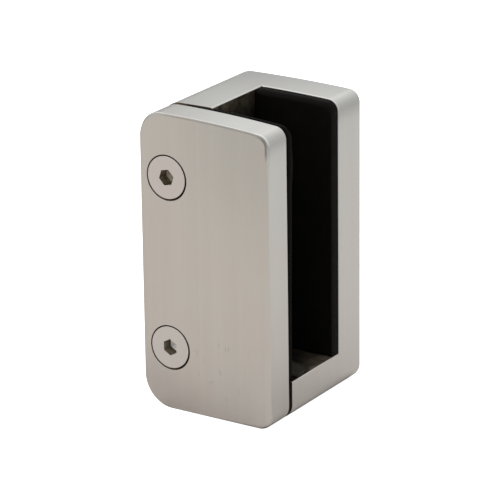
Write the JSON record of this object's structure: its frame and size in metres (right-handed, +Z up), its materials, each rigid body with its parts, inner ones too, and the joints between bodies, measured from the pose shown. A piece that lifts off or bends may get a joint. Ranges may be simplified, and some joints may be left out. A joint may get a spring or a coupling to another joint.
{
  "type": "glass panel clamp",
  "caption": "Stainless clamp for the lower corner of a glass pane, with a slot open to one side and the top, rubber gaskets and a loose front plate held by countersunk screws.",
  "frame": {"origin": "middle of the underside, under the middle of the whole clamp", "axes": "+Z up along the height; -Y towards the front plate and the screw heads; +Y towards the wall face; the slot is open towards +X and +Z"},
  "size_m": [0.04, 0.044, 0.082],
  "materials": {
    "body_steel": "satin, ground along the height",
    "plate_steel": "satin, ground along the height",
    "screw_steel": "turned, plain",
    "gasket_rubber": "matt black",
    "pad_rubber": "matt dark grey"
  },
  "bodies": {
    "clamp": {"clamp_body": "body_steel", "back_gasket": "gasket_rubber", "rest_pad": "pad_rubber"},
    "jaw": {"front_plate": "plate_steel", "front_gasket": "gasket_rubber"},
    "upper_screw": {"upper_screw": "screw_steel"},
    "lower_screw": {"lower_screw": "screw_steel"}
  },
  "joints": [
    {"name": "jaw_slide", "type": "slide", "parent": "clamp", "child": "jaw", "axis": [0, 1, 0], "range_m": [-0.008, 0.00115]},
    {"name": "upper_screw_turn", "type": "hinge", "parent": "jaw", "child": "upper_screw", "pos_m": [-0.0117, -0.022, 0.0646], "axis": [0, 1, 0], "range_deg": [-2881, 415]},
    {"name": "lower_screw_turn", "type": "hinge", "parent": "jaw", "child": "lower_screw", "pos_m": [-0.0117, -0.022, 0.0174], "axis": [0, 1, 0], "range_deg": [-2881, 415]}
  ],
  "couplings": [
    {"joint": "upper_screw_turn", "follows": "jaw_slide", "rad_per_m": 6283.2},
    {"joint": "lower_screw_turn", "follows": "jaw_slide", "rad_per_m": 6283.2}
  ]
}
